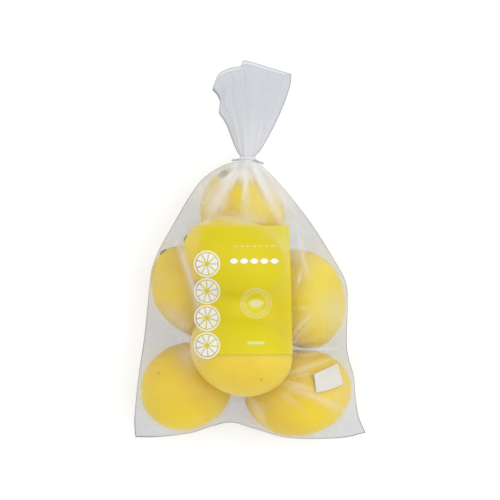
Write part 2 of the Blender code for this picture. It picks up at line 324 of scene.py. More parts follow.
def makeInk(name, look):
    material, tree, shader, place = newMaterial(name)
    tint = mixColour(tree, readMark(tree, "goldShade"), drift(tree, place, look), look["goldShade"])
    setInputs(tree, shader, {
        **look["shader"], "Base Color": tint, "Alpha": look["alpha"], "Normal": unevenness(tree, place, look),
    })
    return material


# plain finishes: two colours in soft patches, over a fine unevenness
stemLook = {
    "first": (0.19, 0.15, 0.08, 1), "second": (0.32, 0.26, 0.15, 1), "patches": 900.0,
    "relief": (1200.0, 3000.0, 0.5, 0.0002), "shader": {"Roughness": 0.85},
}
paperLook = {
    "first": (0.68, 0.65, 0.585, 1), "second": (0.64, 0.61, 0.55, 1), "patches": 180.0,
    "relief": (700.0, 2600.0, 0.5, 0.00006), "shader": {"Roughness": 0.75},
}
tieLook = {
    "first": (0.675, 0.68, 0.675, 1), "second": (0.62, 0.625, 0.63, 1), "patches": 400.0,
    "relief": (900.0, 2400.0, 0.5, 0.00008), "shader": {"Roughness": 0.4},
}


def makePlain(name, look):
    material, tree, shader, place = newMaterial(name)
    tint = drift(tree, place, look)
    setInputs(tree, shader, {**look["shader"], "Base Color": tint, "Normal": unevenness(tree, place, look)})
    return material


film = makeFilm("clearFilm", filmLook)
peel, stem = makePeel(peelLook), makePlain("driedStem", stemLook)
limeInk, whiteInk, paleInk = (makeInk(name, {**inkLook, **ink}) for name, ink in inks.items())
paper, tiePlastic = makePlain("labelPaper", paperLook), makePlain("tiePlastic", tieLook)
print("materials made")

# each lemon's middle (without z it rests on the floor), which way its stem end points (turned from +X, then
# raised), its size, how far its tip stands out, its button's radius, its seed and how deep its yellow is
lemonMeasures = ("x", "y", "z", "turn", "rise", "wide", "long", "tip", "button", "seed", "deep")
lemonRows = {
    "lemonLowLeft": (-42.8, -92.4, None, 32, -24, 59, 68, 0.8, 2.4, 1, 0.8),
    "lemonLowRight": (33.0, -96.7, None, 191, -10, 59.5, 75, 0.6, 2.4, 2, 0.8),
    "lemonSideLeft": (-37.2, -28.2, None, 129, 4, 55.5, 71, 1.8, 3.2, 3, 0.7),
    "lemonSideRight": (36.0, -33.5, None, -74, -6, 58, 70, 1.8, 2.0, 4, 0.0),
    "lemonUnderNeck": (-5.0, 24.5, None, 116, 27, 57, 69, 1.6, 3.6, 5, 0.35),
    "lemonTopLow": (-5.9, -68.3, 73.9, 160, -14, 60, 73, 1.0, 2.4, 6, 0.6),
    "lemonTopHigh": (-10.2, -6.2, 79.0, 157, -2, 57, 74, 1.8, 2.5, 7, 0.6),
}
lemonPile = {name: dict(zip(lemonMeasures, row)) for name, row in lemonRows.items()}
filmGap = 0.3

# patches where the peel is less ripe
freshSides = [(54, -36, 20, 20, 0.75), (4, 38, 20, 20, 0.35), (-6, 18, 14, 14, 0.3)]

lemonForm = {
    "segments": 112, "rings": 84, "fill": 0.985, "bodyShare": 0.96, "nippleWide": 0.2, "tipWide": 0.42,
    "collar": 1.2, "collarWide": 0.3, "dimple": 1.6, "dimpleWide": 0.11,
    "lumps": 1.5, "lumpScale": 46.0, "lumpMiddle": 0.62,
    "buttonSegments": 20, "buttonRings": 10, "buttonFlat": 0.45, "buttonLift": 0.5,
    "ragged": 1.6, "raggedScale": 900.0, "raggedMiddle": 0.5, "detail": 2.0, "spinBySeed": 0.9,
}


def lemonAxis(lemon):
    turn, rise = math.radians(lemon["turn"]), math.radians(lemon["rise"])
    return np.array([math.cos(turn) * math.cos(rise), math.sin(turn) * math.cos(rise), math.sin(rise)])


def lemonEgg(lemon):
    # the lemon's middle, and the matrix that measures its egg shape in any direction
    axis = lemonAxis(lemon)
    girth, reach = (lemon["wide"] / 2) ** 2, (lemon["long"] / 2) ** 2
    spread = np.eye(3) * girth + np.outer(axis, axis) * (reach - girth)
    height = lemon["z"] or math.sqrt(spread[2, 2]) + filmGap
    return np.array([lemon["x"], lemon["y"], height]), np.linalg.inv(spread)


def makeLemonTree(form):
    # stem end at +Z; the rule works on a unit ball: t is the height, ring the distance from the axis
    tree = bpy.data.node_groups.new("lemonTree", "GeometryNodeTree")
    tree.interface.new_socket("Geometry", in_out="OUTPUT", socket_type="NodeSocketGeometry")
    for label in ("Wide", "Long", "Seed", "Lumps", "Deep", "Nipple", "Button"):
        tree.interface.new_socket(label, in_out="INPUT", socket_type="NodeSocketFloat")
    for label in ("Peel", "Stem"):
        tree.interface.new_socket(label, in_out="INPUT", socket_type="NodeSocketMaterial")
    given, out = tree.nodes.new("NodeGroupInput").outputs, tree.nodes.new("NodeGroupOutput")
    calc = calculator(tree)

    def bell(ring, wide):
        ratio = calc("/", ring, wide)
        return calc("EXPONENT", calc("*", calc("*", ratio, ratio), -1.0))

    def store(geometry, name, value):
        links = {"Geometry": geometry, "Name": name, "Value": value}
        kind = "GeometryNodeStoreNamedAttribute"
        return addNode(tree, kind, links, data_type="FLOAT", domain="POINT").outputs[0]

    def roughNoise(scale, middle, reach, **vector):
        # noise about its middle, times its reach
        links = {**vector, "W": given["Seed"], "Scale": scale, "Detail": form["detail"]}
        cloud = addNode(tree, "ShaderNodeTexNoise", links, noise_dimensions="4D").outputs[0]
        return calc("*", calc("-", cloud, middle), reach)

    def pushOut(geometry, reach):
        # moves each point along its normal
        links = {0: addNode(tree, "GeometryNodeInputNormal").outputs[0], "Scale": reach}
        along = addNode(tree, "ShaderNodeVectorMath", links, operation="SCALE").outputs[0]
        return addNode(tree, "GeometryNodeSetPosition", {"Geometry": geometry, "Offset": along}).outputs[0]

    def ball(segments, rings, radius):
        links = {"Segments": segments, "Rings": rings, "Radius": radius}
        return addNode(tree, "GeometryNodeMeshUVSphere", links).outputs["Mesh"]

    def paint(geometry, material):
        links = {"Geometry": geometry, "Material": material}
        return addNode(tree, "GeometryNodeSetMaterial", links).outputs[0]

    where = addNode(tree, "GeometryNodeInputPosition").outputs[0]
    place = addNode(tree, "ShaderNodeSeparateXYZ", {0: where}).outputs
    t = place["Z"]
    ring = calc("SQRT", calc("MAXIMUM", calc("-", 1.0, calc("*", t, t)), 0.0))
    atStem = calc("GREATER_THAN", t, 0.0)
    atTip = calc("-", 1.0, atStem)
    nipple = calc("*", calc("*", bell(ring, form["nippleWide"]), atTip), given["Nipple"])
    collar = calc("*", bell(ring, form["collarWide"]), form["collar"] * mm)
    dimple = calc("*", bell(ring, form["dimpleWide"]), form["dimple"] * mm)
    crown = calc("*", calc("-", collar, dimple), atStem)
    halfLong = calc("*", given["Long"], 0.5 * form["bodyShare"])
    height = calc("+", calc("-", calc("*", t, halfLong), nipple), crown)
    girth = calc("*", given["Wide"], 0.5 * form["fill"])
    flat = {axis: calc("*", place[axis], girth) for axis in "XY"}
    shaped = addNode(tree, "ShaderNodeCombineXYZ", {**flat, "Z": height}).outputs[0]
    marked = store(ball(form["segments"], form["rings"], 1.0), "tip", bell(ring, form["tipWide"]))
    marked = store(marked, "deep", given["Deep"])
    body = addNode(tree, "GeometryNodeSetPosition", {"Geometry": marked, "Position": shaped}).outputs[0]
    lumps = roughNoise(form["lumpScale"], form["lumpMiddle"], given["Lumps"], Vector=where)
    fruit = paint(pushOut(body, lumps), given["Peel"])
    # the stem's dried button sits in the dimple
    disc = ball(form["buttonSegments"], form["buttonRings"], given["Button"])
    disc = pushOut(disc, roughNoise(form["raggedScale"], form["raggedMiddle"], form["ragged"] * mm))
    lift = calc("+", halfLong, (form["collar"] - form["dimple"] + form["buttonLift"]) * mm)
    seat = addNode(tree, "GeometryNodeTransform", {
        "Geometry": disc, "Translation": addNode(tree, "ShaderNodeCombineXYZ", {"Z": lift}).outputs[0],
        "Scale": (1.0, 1.0, form["buttonFlat"]),
    }).outputs[0]
    joined = addNode(tree, "GeometryNodeJoinGeometry")
    for part in (fruit, paint(seat, given["Stem"])):
        tree.links.new(part, joined.inputs[0])
    smooth = addNode(tree, "GeometryNodeSetShadeSmooth", {"Geometry": joined.outputs[0]})
    whole = addNode(tree, "GeometryNodeRealizeInstances", {"Geometry": smooth.outputs[0]})
    tree.links.new(whole.outputs[0], out.inputs[0])
    return tree


def fromTree(name, tree, values):
    # runs the tree on an empty mesh and keeps the result as a plain mesh
    carrier = linkNew(name + "Carrier", bpy.data.meshes.new(name + "Carrier"))
    nodes = carrier.modifiers.new("build", "NODES")
    nodes.node_group = tree
    for socket in tree.interface.items_tree:
        if socket.in_out == "INPUT":
            nodes[socket.identifier] = values[socket.name]
    bpy.context.view_layer.update()
    mesh = bpy.data.meshes.new_from_object(carrier.evaluated_get(bpy.context.evaluated_depsgraph_get()))
    carrier.modifiers.remove(nodes)
    bpy.data.objects.remove(carrier)
    mesh.name = name
    return linkNew(name, mesh)


def makeLemons():
    tree = makeLemonTree(lemonForm)
    for name, lemon in lemonPile.items():
        piece = fromTree(name, tree, {
            "Wide": lemon["wide"] * mm, "Long": lemon["long"] * mm, "Seed": float(lemon["seed"]),
            "Lumps": lemonForm["lumps"] * mm, "Deep": lemon["deep"], "Nipple": lemon["tip"] * mm,
            "Button": lemon["button"] * mm, "Peel": peel, "Stem": stem,
        })
        turned = Vector(lemonAxis(lemon)).to_track_quat("Z", "X").to_matrix().to_4x4()
        spun = Matrix.Rotation(lemon["seed"] * lemonForm["spinBySeed"], 4, "Z")
        piece.data.transform(Matrix.Translation(Vector(lemonEgg(lemon)[0]) * mm) @ turned @ spun)
        x, y, _ = np.array([vertex.co[:] for vertex in piece.data.vertices]).T / mm
        addAttribute(piece, "fresh", np.minimum(patchField(x, y, freshSides), 1))
        standFor(piece, "lemon_peel", "bag")


makeLemons()
print("lemons made")

# where the film is gathered; the film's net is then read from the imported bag
neck = {"x": -1.7, "z": 24.0, "radius": 4.8, "startY": 60.3, "endY": 63.2}


def seamLoop(node, joinWithin=0.002):
    # the line along which the bag's front and back meet, in order, from the lower left corner towards +X
    bm = bmesh.new()
    bm.from_mesh(node.data)
    bmesh.ops.remove_doubles(bm, verts=bm.verts, dist=joinWithin * mm)
    bm.normal_update()
    beside = {}
    for edge in bm.edges:
        if edge.link_faces[0].normal.z * edge.link_faces[1].normal.z < 0:
            a, b = edge.verts
            beside.setdefault(a.index, []).append(b.index)
            beside.setdefault(b.index, []).append(a.index)
    bm.verts.ensure_lookup_table()
    place = {k: np.array(bm.verts[k].co[:]) / mm for k in beside}
    bm.free()
    loop = [min(place, key=lambda k: place[k][0] + place[k][1])]
    loop.append(max(beside[loop[0]], key=lambda k: place[k][0]))
    while len(loop) < len(place):
        loop.append(next(k for k in beside[loop[-1]] if k != loop[-2]))
    return np.array([place[k] for k in loop])


def splitSeam(seam, fanY=100):
    # the seam's runs; the fan's corners are its points furthest to each side above fanY
    def atNeck(side, y):
        return int(np.argmin(np.hypot(seam[:, 0] - neck["x"] - side * neck["radius"], seam[:, 1] - y)))

    lowRight = int(np.argmax(seam[:, 0] - seam[:, 1]))
    startRight, endRight = atNeck(1, neck["startY"]), atNeck(1, neck["endY"])
    endLeft, startLeft = atNeck(-1, neck["endY"]), atNeck(-1, neck["startY"])
    inFan = seam[:, 1] > fanY
    mouthRight = int(np.argmax(np.where(inFan, seam[:, 0], -np.inf)))
    mouthLeft = int(np.argmin(np.where(inFan, seam[:, 0], np.inf)))
    return {
        "bottom": seam[: lowRight + 1], "right": seam[lowRight: startRight + 1],
        "left": np.vstack([seam[startLeft:], seam[:1]])[::-1], "fanRight": seam[endRight: mouthRight + 1],
        "mouth": seam[mouthRight: mouthLeft + 1][::-1], "fanLeft": seam[mouthLeft: endLeft + 1][::-1],
    }


def smoothThrough(points, cells, steps=12):
    # evenly spaced points along a smooth curve through the given ones
    run = np.vstack([2 * points[0] - points[1], points, 2 * points[-1] - points[-2]])
    t = np.linspace(0, 1, steps, endpoint=False)[:, None]
    spans = []
    for a, b, c, d in zip(run, run[1:], run[2:], run[3:]):
        bend, twist = 2 * a - 5 * b + 4 * c - d, 3 * b - a - 3 * c + d
        spans.append(b + 0.5 * ((c - a) * t + bend * t**2 + twist * t**3))
    curve = np.vstack([*spans, points[-1:]])
    reach = np.concatenate([[0], np.cumsum(np.linalg.norm(np.diff(curve, axis=0), axis=1))])
    even = np.linspace(0, reach[-1], cells + 1)
    return np.stack([np.interp(even, reach, curve[:, k]) for k in range(3)], axis=1)


def patchBetween(start, end, left, right):
    # a net of points that fills the space between four edges
    v = np.linspace(0, 1, len(left))[:, None, None]
    u = np.linspace(0, 1, len(start))[None, :, None]
    across = (1 - u) * left[:, None] + u * right[:, None]
    along = (1 - v) * start[None] + v * end[None]
    firstRow = (1 - u) * start[0] + u * start[-1]
    lastRow = (1 - u) * end[0] + u * end[-1]
    return across + along - (1 - v) * firstRow - v * lastRow


def neckLine(y, cells):
    angle = np.linspace(0, math.pi, cells + 1)
    x = neck["x"] - neck["radius"] * np.cos(angle)
    return np.stack([x, np.full_like(x, y), np.full_like(x, neck["z"])], axis=1)


seamParts = splitSeam(seamLoop(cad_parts["bag"]))

# the body's film: how its net settles, how its folds and ripples rise, and where it looks hazy or milky
bodyFilm = {
    "across": 176, "rows": 190, "coarseStep": 4, "coarseSteps": 900, "fineSteps": 260,
    "slack": 3.0, "sag": 0.07, "filmThick": 0.3, "rimBand": 6, "touch": (0.2, 4),
    "foldOnFruit": 0.45, "rippleOnFruit": 0.5, "rippleFree": 2.1, "backFold": 0.5,
    "ripples": ((0.3, 17, 3.1), (0.12, 8, 8.4)), "backRipples": ((0.6, 15, 21.7),),
    "milkReach": (4.0, 44.0), "windowSoft": 9, "windowCore": 0.4, "edgeBand": 0.8, "hazeReach": (0.5, 9.0),
    "hazeOver": 0.12, "hazeBack": 1.15, "outlineBlur": (-2.5, 2.5), "backBlur": (-5, -1),
    "backGather": 0.6, "backMilk": 0.3, "mostMilk": 1.4,
}

# clear stretches in the gathers under the neck: each one's heading, half angle, start and share
clearWindows = [(-109, 15, 10, 1.0), (-77, 15, 10, 0.9), (-141, 14, 22, 0.5), (-155, 14, 8, 0.65)]

# single folds: where each starts and ends, how far it stands up, its half width, and how milky it looks; the
# milk is partly the whitening of folded film and partly a painted highlight along the fold
folds = [
    # out of the neck
    ((-3, 70), (-34, 8), 1.4, 3.9, 0.92),
    ((-5, 60), (-21, 21), 1.0, 1.3, 0.35),
    ((-2.6, 72), (-5.0, 32), 1.2, 2.1, 0.7),
    ((-4, 70), (26, 10), 1.6, 3.4, 0.95),
    ((3, 64), (33, 21), 1.0, 2.8, 0.45),
    # over the edge of the top lemons
    ((-27, 23), (13, 19.5), 0.7, 3.4, 0.75),
    ((-49, 7), (-32, -42), 1.6, 3.4, 1.3),
    ((-37, -30), (-29, -74), 0.9, 2.8, 0.65),
    # over the right lemon
    ((32.5, 11), (39.5, -21), 0.9, 2.4, 0.7),
    ((34.4, -12), (32.2, -24), 0.6, 1.2, 0.8),
    ((31, -38.2), (41, -40), 0.6, 1.3, 0.7),
    ((28, -57), (44, -40), 0.6, 1.3, 0.55),
    # between the two right lemons, then over the lower one
    ((30, -66.5), (62, -66.5), 1.0, 1.5, 1.0),
    ((28, -71), (52, -69.5), 0.6, 0.9, 0.5),
    ((25, -83), (61, -71.5), 0.9, 2.0, 0.65),
    ((26, -86.5), (45, -82), 0.5, 0.9, 0.45),
    ((23, -87), (47, -96), 0.7, 1.3, 0.65),
    ((20, -88.5), (67, -110), 0.9, 3.1, 0.7),
    ((18, -93), (40, -112), 0.6, 1.8, 0.4),
    ((-1, -97), (14, -123), 0.7, 2.8, 0.6),
]
foldForm = {"thinnest": 0.35, "wave": 0.25, "waves": 7}

# places from which many folds spread: where each is, the first and last aim from +X, how many folds, where
# they start and how far they reach, how high, wide and milky they are (the milk partly painted highlight),
# and a seed
puckerMeasures = ("x", "y", "from", "to", "count", "near", "reach", "height", "width", "milkAndPaintedLight", "seed")
puckers = [
    (-1.7, 64.3, -164, -16, 30, 3.5, 66, 0.8, 1.0, 0.4, 11),
    (25.5, -67, -70, -8, 9, 3, 60, 0.8, 1.2, 0.2, 5),
    (26.5, -65, 8, 72, 9, 1, 46, 1.1, 0.9, 0.5, 23),
    (22, -34, -50, 60, 8, 4, 52, 0.6, 1.8, 0.14, 31),
    (-33, -58, 150, 235, 5, 2, 26, 0.7, 1.3, 0.3, 41),
]
puckerForm = {
    "jitter": 0.4, "tall": (0.3, 1.0), "long": (0.3, 1.0), "wide": (0.7, 1.6), "wideAt": 0.6,
    "widenEvery": 22, "sway": 0.04, "swayEvery": (6, 12), "rise": 7, "fadeFrom": 0.3, "halfTurn": 1.2,
}

# short sharp creases: a shallow groove each, with painted shade drawn along it in the film's dark edge colour
creases = [
    ((27.6, -66.6), (32.6, -64.9)), ((27.4, -63.4), (31.6, -60.8)), ((26.6, -83.6), (29.2, -80.4)),
    ((28.6, -68.6), (31.4, -69.4)),
]
creaseForm = {"depth": 0.15, "width": 0.6, "creaseShade": 0.9, "blunt": 6}

# milky places in the film, partly painted light that brightens shaded spots between the lemons, and
# clearer ones, whose strength is negative
cloudsAndPaintedLight = [
    (56, -42, 15, 15, 0.6), (-28.5, 36, 10.5, 10.5, 1.3), (22, 36, 13, 13, 0.75), (62, -98, 13, 13, 0.55),
    (-38, 12, 9, 9, 0.2), (43, -8, 9, 9, 0.45), (2, 22, 9, 9, 0.35), (-60, -22, 9, 9, 0.35),
    (-40, -70, 9, 9, 0.75), (33, 16, 8, 8, 0.8), (-54, -43, 9, 9, 0.7), (-44, -51, 6, 6, 0.7),
    (-20.5, 50, 3.6, 3.6, 0.8), (32, -2, 6, 6, 0.7), (34, -36, 9, 9, -0.4), (-47, -119, 13, 13, -0.25),
    (44, -113, 12, 12, -0.25), (-12, 38, 6, 6, -0.25),
]


def fruitLimit(x, y, side):
    # how high the fruit reaches at each place, or how low with side -1, as a height to stay above
    limit = np.full_like(x, -np.inf)
    for lemon in lemonPile.values():
        middle, form = lemonEgg(lemon)
        dx, dy = x - middle[0], y - middle[1]
        cross = form[0, 2] * dx + form[1, 2] * dy
        flat = form[0, 0] * dx**2 + 2 * form[0, 1] * dx * dy + form[1, 1] * dy**2
        inside = cross**2 - form[2, 2] * (flat - 1)
        reach = (np.sqrt(np.maximum(inside, 0)) - side * cross) / form[2, 2]
        limit = np.where(inside > 0, np.maximum(limit, side * middle[2] + reach + filmGap), limit)
    return limit


def fruitDistance(points, least=0.01):
    # how far each point is from the nearest lemon, in space and seen from above
    inSpace, inPlan = np.full(points.shape[:-1], np.inf), np.full(points.shape[:-1], np.inf)
    for lemon in lemonPile.values():
        middle, form = lemonEgg(lemon)
        outline = form[:2, :2] - np.outer(form[:2, 2], form[2, :2]) / form[2, 2]
        apart = points - middle
        for nearest, shape, away in ((inSpace, form, apart), (inPlan, outline, apart[..., :2])):
            reach = np.maximum(np.sqrt(np.einsum("...i,ij,...j", away, shape, away)), least)
            np.minimum(nearest, np.linalg.norm(away, axis=-1) * (1 - 1 / reach), out=nearest)
    return inSpace, inPlan


def settle(net, height, limit, ceiling, steps, sag, closest=0.05):
    # lets a stretched skin come to rest on what is under it
    middle = net[1:-1, 1:-1, :2]
    beside = (net[:-2, 1:-1, :2], net[2:, 1:-1, :2], net[1:-1, :-2, :2], net[1:-1, 2:, :2])
    apart = np.stack([np.linalg.norm(middle - other, axis=-1) for other in beside])
    pull = 1 / np.maximum(apart, closest) ** 2
    drop = sag / pull.sum(axis=0)
    pull /= pull.sum(axis=0)
    floor = limit[1:-1, 1:-1]
    for _ in range(steps):
        around = pull[0] * height[:-2, 1:-1] + pull[1] * height[2:, 1:-1] - drop
        around += pull[2] * height[1:-1, :-2] + pull[3] * height[1:-1, 2:]
        height[1:-1, 1:-1] = np.minimum(np.maximum(around, floor), ceiling)
    return height


def stretchFilm(net, start, limit, plan, ceiling=np.inf, sag=0.0):
    # settles every few rows and columns first, then all of them
    rows, columns = start.shape
    rowPick = np.unique(np.append(np.arange(0, rows, plan["coarseStep"]), rows - 1))
    columnPick = np.unique(np.append(np.arange(0, columns, plan["coarseStep"]), columns - 1))
    pick = np.ix_(rowPick, columnPick)
    coarse = start[pick].copy()
    coarse[1:-1, 1:-1] = np.maximum(coarse, limit[pick])[1:-1, 1:-1]
    coarse = settle(net[pick], coarse, limit[pick], ceiling, plan["coarseSteps"], sag)
    half = np.stack([np.interp(np.arange(columns), columnPick, row) for row in coarse])
    fine = np.stack([np.interp(np.arange(rows), rowPick, column) for column in half.T], axis=1)
    fine[0], fine[-1], fine[:, 0], fine[:, -1] = start[0], start[-1], start[:, 0], start[:, -1]
    return settle(net, fine, limit, ceiling, plan["fineSteps"], sag)


def besideLine(x, y, start, end):
    # how far along a line each place is, from 0 to 1, and how far from it
    run = np.array(end, float) - start
    along = np.clip(((x - start[0]) * run[0] + (y - start[1]) * run[1]) / run.dot(run), 0, 1)
    return along, np.hypot(x - start[0] - along * run[0], y - start[1] - along * run[1])


def foldField(x, y):
    # how far the folds lift the film, and how milky they make it, the milk partly a painted highlight along
    # each fold: spindles, with a slow wave in their width
    lift, milkAndPaintedLight = np.zeros_like(x), np.zeros_like(x)
    for start, end, height, width, share in folds:
        along, aside = besideLine(x, y, start, end)
        taper = 1 - (2 * along - 1) ** 2
        wave = 1 + foldForm["wave"] * np.sin(foldForm["waves"] * along + start[0])
        wide = width * between(foldForm["thinnest"], 1, taper) * wave
        crest = np.exp(-((aside / wide) ** 2)) * np.sqrt(np.maximum(taper, 0))
        lift += height * crest
        milkAndPaintedLight += share * crest
    return lift, milkAndPaintedLight


def creaseField(x, y):
    # painted shade along each crease, strongest on its line
    creaseShade = np.zeros_like(x)
    for start, end in creases:
        along, aside = besideLine(x, y, start, end)
        taper = 1 - (2 * along - 1) ** creaseForm["blunt"]
        creaseShade = np.maximum(creaseShade, np.exp(-((aside / creaseForm["width"]) ** 2)) * taper)
    return creaseShade


def puckerField(x, y, pucker, form):
    # folds that spread from one place, each with its own aim, height and reach
    pick = np.random.default_rng(pucker["seed"])
    dx, dy = x - pucker["x"], y - pucker["y"]
    away, angle = np.hypot(dx, dy), np.arctan2(dy, dx)
    first, span = math.radians(pucker["from"]), math.radians(pucker["to"] - pucker["from"])
    lift = np.zeros_like(x)
    for k in range(pucker["count"]):
        aim = first + (k + 0.5 + pick.uniform(-form["jitter"], form["jitter"])) / pucker["count"] * span
        tall, reach = pick.uniform(*form["tall"]), pick.uniform(*form["long"]) * pucker["reach"]
        sway = form["sway"] * np.sin(away / pick.uniform(*form["swayEvery"]) + pick.uniform(0, 6))
        turn = np.abs((angle - aim - sway + math.pi) % (2 * math.pi) - math.pi)
        width = pucker["width"] * pick.uniform(*form["wide"]) * (form["wideAt"] + away / form["widenEvery"])
        fade = smoothStep(pucker["near"], pucker["near"] + form["rise"], away)
        fade *= 1 - smoothStep(form["fadeFrom"] * reach, reach, away)
        lift += tall * np.exp(-((away * turn / width) ** 2)) * fade * (turn < form["halfTurn"])
    return pucker["height"] * lift, pucker["milkAndPaintedLight"] * (1 - np.exp(-lift))


def rippleField(x, y, ripples):
    # soft waves, each with its height, its size and its seed
    total = np.zeros_like(x)
    for height, size, seed in ripples:
        flat = np.stack([x.ravel() / size, y.ravel() / size], axis=1)
        waves = np.array([noise.noise(Vector((a, b, seed))) for a, b in flat]).reshape(x.shape)
        total += height * (1 + waves)
    return total


def gatherField(x, y, plan):
    # milky under the neck, but for the clear windows
    away = np.hypot(x - neck["x"], y - neck["startY"])
    aim = np.degrees(np.arctan2(y - neck["startY"], x - neck["x"]))
    gather = 1 - smoothStep(*plan["milkReach"], away)
    for middle, half, start, share in clearWindows:
        inside = 1 - smoothStep(plan["windowCore"], 1, np.abs(aim - middle) / half)
        gather *= 1 - share * inside * smoothStep(start, start + plan["windowSoft"], away)
    return gather


def makeBodyFilm(plan):
    across, rows = plan["across"], plan["rows"]
    net = patchBetween(
        smoothThrough(seamParts["bottom"], across), neckLine(neck["startY"], across),
        smoothThrough(seamParts["left"], rows), smoothThrough(seamParts["right"], rows),
    )
    x, y, rim = net[..., 0], net[..., 1], net[..., 2]
    arch = np.sin(np.linspace(0, math.pi, across + 1))
    frontStart, backStart = rim.copy(), rim.copy()
    frontStart[-1] += neck["radius"] * arch
    backStart[-1] -= neck["radius"] * arch
    upper, lower = fruitLimit(x, y, 1), fruitLimit(x, y, -1)
    back = -stretchFilm(net, -backStart, lower + plan["slack"], plan, ceiling=0.0)
    front = stretchFilm(net, frontStart, np.maximum(upper, back + plan["filmThick"]), plan, sag=plan["sag"])
    toRim = np.minimum.reduce([x - x[:, :1], x[:, -1:] - x, y - y[:1]])
    inner = smoothStep(0, plan["rimBand"], toRim)
    clear, beside = fruitDistance(np.stack([x, y, front], axis=-1))
    free = smoothStep(*plan["touch"], clear)
    lift, milkAndPaintedLight = foldField(x, y)
    for row in puckers:
        moreLift, moreMilk = puckerField(x, y, dict(zip(puckerMeasures, row)), puckerForm)
        lift, milkAndPaintedLight = lift + moreLift, milkAndPaintedLight + moreMilk
    creaseShade = creaseField(x, y)
    raised = lift * between(plan["foldOnFruit"], 1, free) - creaseForm["depth"] * creaseShade * free
    raised += rippleField(x, y, plan["ripples"]) * between(plan["rippleOnFruit"], plan["rippleFree"], free)
    front = front + inner * raised
    backRaised = inner * (rippleField(x, y, plan["backRipples"]) + plan["backFold"] * lift)
    back = np.maximum(back + backRaised * smoothStep(*plan["touch"], back), 0)
    back = np.minimum(back, np.where(np.isfinite(lower), -lower, np.inf))
    inside = np.ones_like(x, bool)
    inside[0], inside[:, 0], inside[:, -1] = False, False, False
    frontPoints = np.stack([x, y, front], axis=-1)
    backPoints = np.stack([x, y, back], axis=-1)
    piece = twoSheets("filmBody", frontPoints, backPoints, inside, film)
    gather = gatherField(x, y, plan)
    haze = between(plan["hazeOver"], 1, smoothStep(*plan["outlineBlur"], beside))
    haze *= smoothStep(*plan["hazeReach"], clear)
    hazeBack = smoothStep(*plan["hazeReach"], fruitDistance(backPoints)[0])
    hazeBack = plan["hazeBack"] * np.maximum(hazeBack, smoothStep(*plan["backBlur"], beside))
    # the band at the rim where a dark line of painted shade is drawn
    edge = 1 - smoothStep(0, plan["edgeBand"], toRim)
    markSheets(
        piece, inside, gather=(gather, plan["backGather"] * gather), apart=(haze, hazeBack),
        # fold milk: partly the whitening of folded film, partly painted highlight
        fold=(np.clip(milkAndPaintedLight, 0, plan["mostMilk"]), plan["backMilk"] * np.clip(milkAndPaintedLight, 0, 1)),
        # clouds: milky film, partly painted light that lifts shaded spots
        cloud=(patchField(x, y, cloudsAndPaintedLight), np.zeros_like(x)),
        # rim: painted shade, the dark line at the bag's rim and along the creases
        rim=(np.maximum(edge, creaseForm["creaseShade"] * creaseShade), edge),
    )
    standFor(piece, "clear_film", "bag")
    # the print and the label are laid on the front later
    return BVHTree.FromPolygons((frontPoints.reshape(-1, 3) * mm).tolist(), gridFaces(*x.shape))


frontTree = makeBodyFilm(bodyFilm)
print("body film made")

# the fanned mouth
fanFilm = {
    "across": 220, "rows": 110, "tall": 62, "belly": 5.6, "lip": 3.2, "depth": 0.5, "neckDepth": 0.32,
    "waves": 5.5, "uneven": (0.05, 1.3), "drift": (0.10, 2.4), "second": (0.35, 2.1, 1.6),
    "waveShare": 0.8, "apartShare": 0.6, "waveRise": 2.5, "flatten": 0.5, "frontSeed": 5, "backSeed": 6,
    "backDrop": 2.2, "dropFrom": 0.9, "dropRise": 4,
    "milkTop": 0.1, "milkNeck": 0.5, "milkReach": 0.6, "cloud": 0.25, "apart": 1.45, "hem": 0.8,
}


def fanSheet(plan, side, seed):
    # one side of the flattened mouth, front (1) or back (-1), with soft folds that open out from the neck
    across, rows = plan["across"], plan["rows"]
    net = patchBetween(
        neckLine(neck["endY"], across), smoothThrough(seamParts["mouth"], across),
        smoothThrough(seamParts["fanLeft"], rows), smoothThrough(seamParts["fanRight"], rows),
    )
    pick = np.random.default_rng(seed)
    u = np.linspace(0, 1, across + 1)
    v = np.linspace(0, 1, rows + 1)[:, None]
    arch = np.sin(math.pi * u)
    uneven, often = plan["uneven"]
    phase = plan["waves"] * (u + uneven * np.sin(2 * math.pi * (often * u + pick.uniform())))
    lean, leanWaves = plan["drift"]
    leaning = lean * np.sin(leanWaves * v + pick.uniform(0, 6))
    share, finer, leanBack = plan["second"]
    lobes = np.sin(2 * math.pi * (phase + leaning))
    lobes = lobes + share * np.sin(2 * math.pi * (finer * phase - leanBack * leaning))
    depth = between(plan["neckDepth"], plan["depth"], v) * np.minimum(1, plan["waveRise"] * arch)
    swell = (plan["belly"] - neck["radius"]) * np.sin(math.pi * v)
    half = (between(neck["radius"], plan["lip"], v) + swell) * np.abs(arch) ** (1 - plan["flatten"] * v)
    net[..., 2] += side * half + depth * lobes * plan["waveShare"] - side * depth * plan["apartShare"]
    if side < 0:
        drop = plan["backDrop"] * smoothStep(plan["dropFrom"], 1, v)
        net[..., 1] -= drop * np.minimum(1, plan["dropRise"] * arch)
    return net, v * np.ones_like(u)


